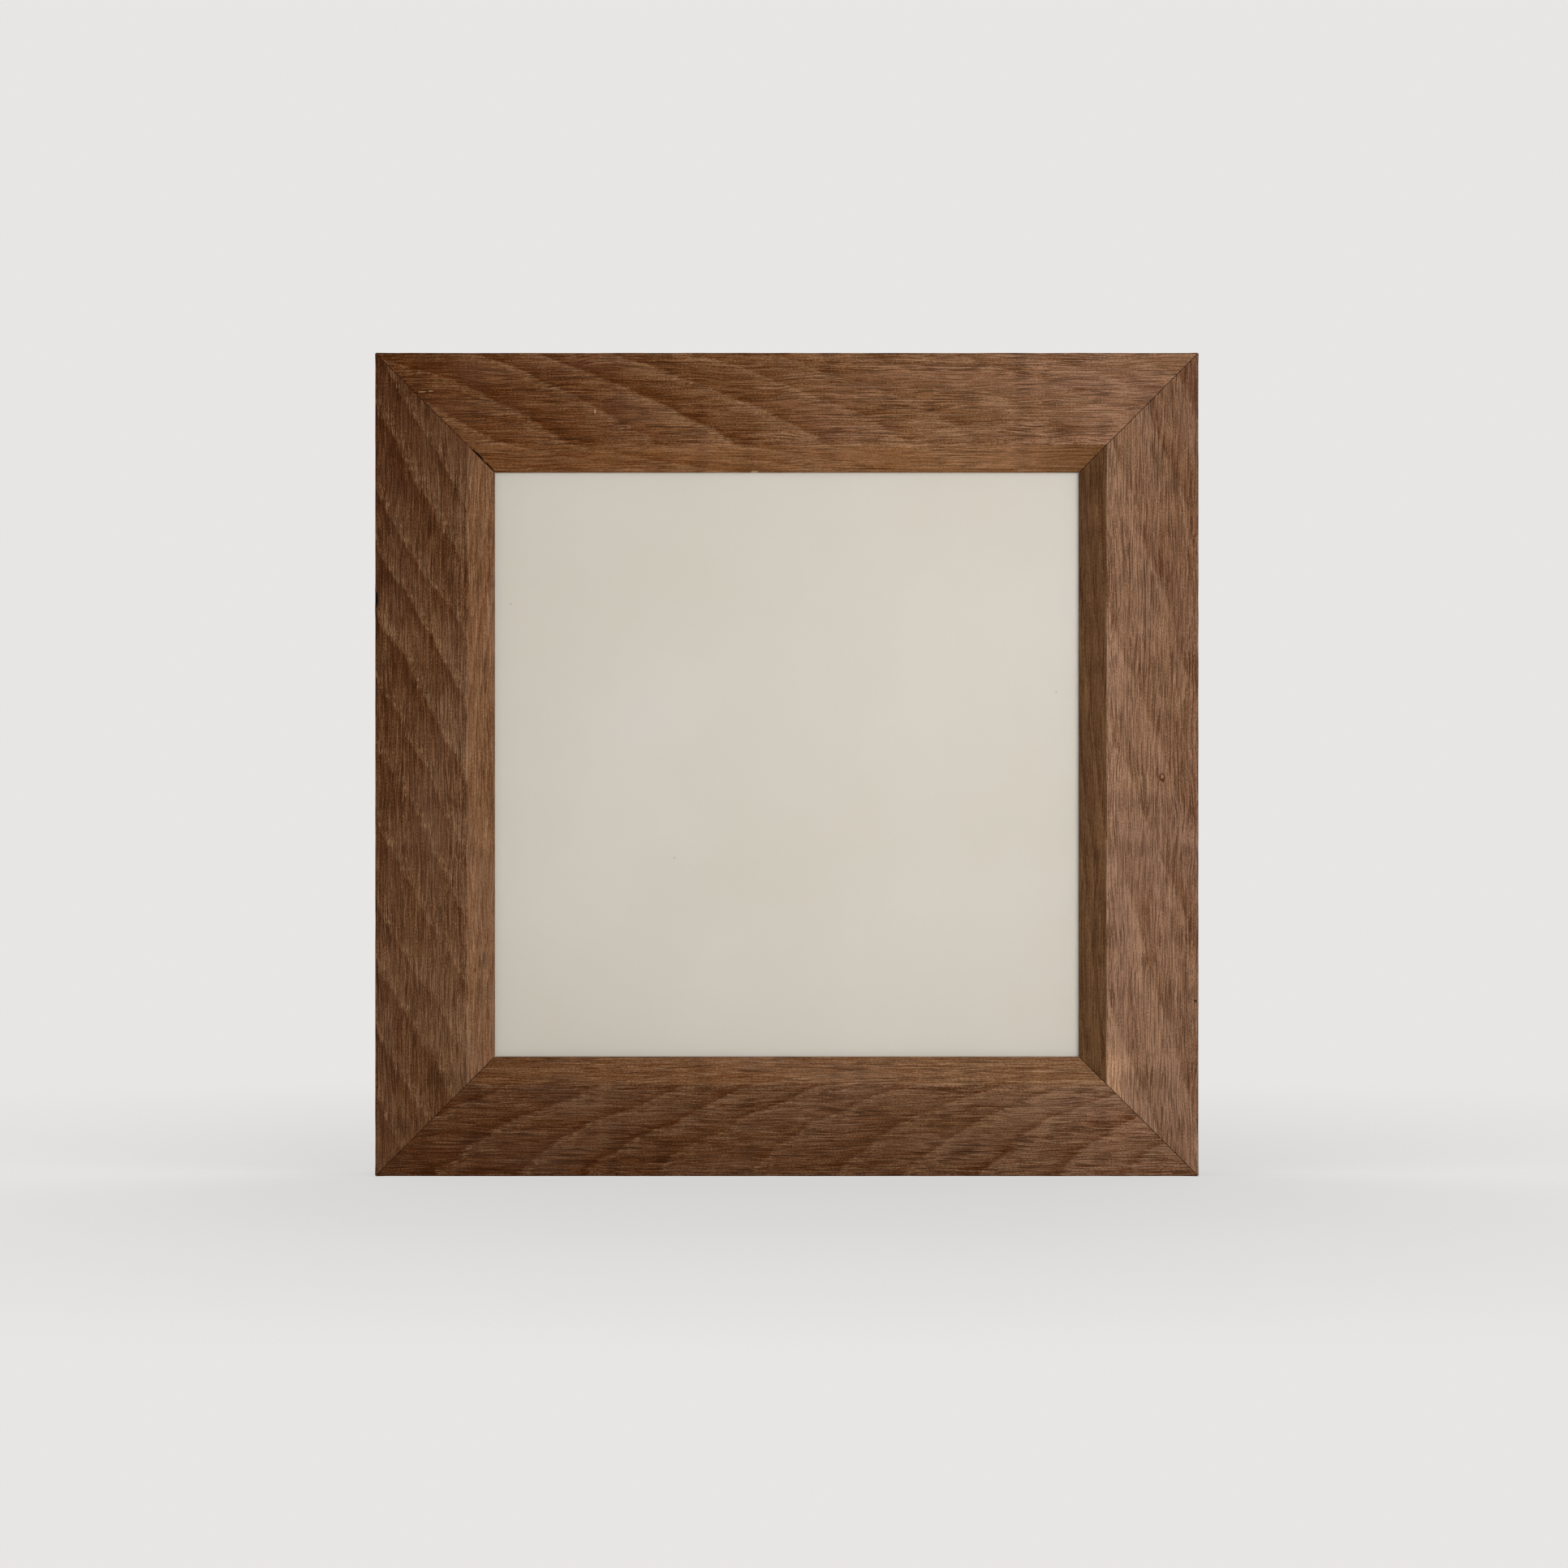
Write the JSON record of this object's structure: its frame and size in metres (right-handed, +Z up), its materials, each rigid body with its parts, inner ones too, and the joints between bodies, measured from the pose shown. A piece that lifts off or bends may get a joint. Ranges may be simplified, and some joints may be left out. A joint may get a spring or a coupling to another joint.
{
  "type": "picture frame",
  "caption": "Square mitred wooden picture frame with a flat face, a bevel down to the sight edge, glass, a bare card, a back board held by turn buttons, and a sawtooth hanger.",
  "frame": {"origin": "middle of the bottom edge: centre of the frame's width, half way through the depth of the wood, on the flat that the frame stands on", "axes": "+X to the right as seen from the front, +Y from the front to the back, +Z up; the picture faces -Y"},
  "size_m": [0.272, 0.0235, 0.272],
  "materials": {
    "stained_oak": "dark stained, open pored, satin",
    "glass": "clear",
    "card": "uncoated off-white",
    "greyboard": "raw",
    "hardboard": "pressed fibre, smooth side out",
    "zinc_steel": "zinc plated",
    "rubber": "matt"
  },
  "bodies": {
    "frame": {"top_rail": "stained_oak", "bottom_rail": "stained_oak", "left_stile": "stained_oak", "right_stile": "stained_oak", "glass_pane": "glass", "picture_card": "card", "filler_board": "greyboard", "back_board": "hardboard", "turn_button_screw_lower_left": "zinc_steel", "turn_button_screw_upper_left": "zinc_steel", "turn_button_screw_lower_right": "zinc_steel", "turn_button_screw_upper_right": "zinc_steel", "sawtooth_hanger": "zinc_steel", "hanger_screw_left": "zinc_steel", "hanger_screw_right": "zinc_steel", "v_nail_bottom_left_outer": "zinc_steel", "v_nail_bottom_left_inner": "zinc_steel", "v_nail_bottom_right_outer": "zinc_steel", "v_nail_bottom_right_inner": "zinc_steel", "v_nail_top_left_outer": "zinc_steel", "v_nail_top_left_inner": "zinc_steel", "v_nail_top_right_outer": "zinc_steel", "v_nail_top_right_inner": "zinc_steel", "bumper_left": "rubber", "bumper_right": "rubber"},
    "lower_left_button": {"turn_button_lower_left": "zinc_steel"},
    "upper_left_button": {"turn_button_upper_left": "zinc_steel"},
    "lower_right_button": {"turn_button_lower_right": "zinc_steel"},
    "upper_right_button": {"turn_button_upper_right": "zinc_steel"}
  },
  "joints": [
    {"name": "lower_left_turn", "type": "hinge", "parent": "frame", "child": "lower_left_button", "pos_m": [-0.1105, 0.0108, 0.076], "axis": [0, 1, 0], "continuous": true},
    {"name": "upper_left_turn", "type": "hinge", "parent": "frame", "child": "upper_left_button", "pos_m": [-0.1105, 0.0108, 0.196], "axis": [0, 1, 0], "continuous": true},
    {"name": "lower_right_turn", "type": "hinge", "parent": "frame", "child": "lower_right_button", "pos_m": [0.1105, 0.0108, 0.076], "axis": [0, 1, 0], "continuous": true},
    {"name": "upper_right_turn", "type": "hinge", "parent": "frame", "child": "upper_right_button", "pos_m": [0.1105, 0.0108, 0.196], "axis": [0, 1, 0], "continuous": true}
  ]
}
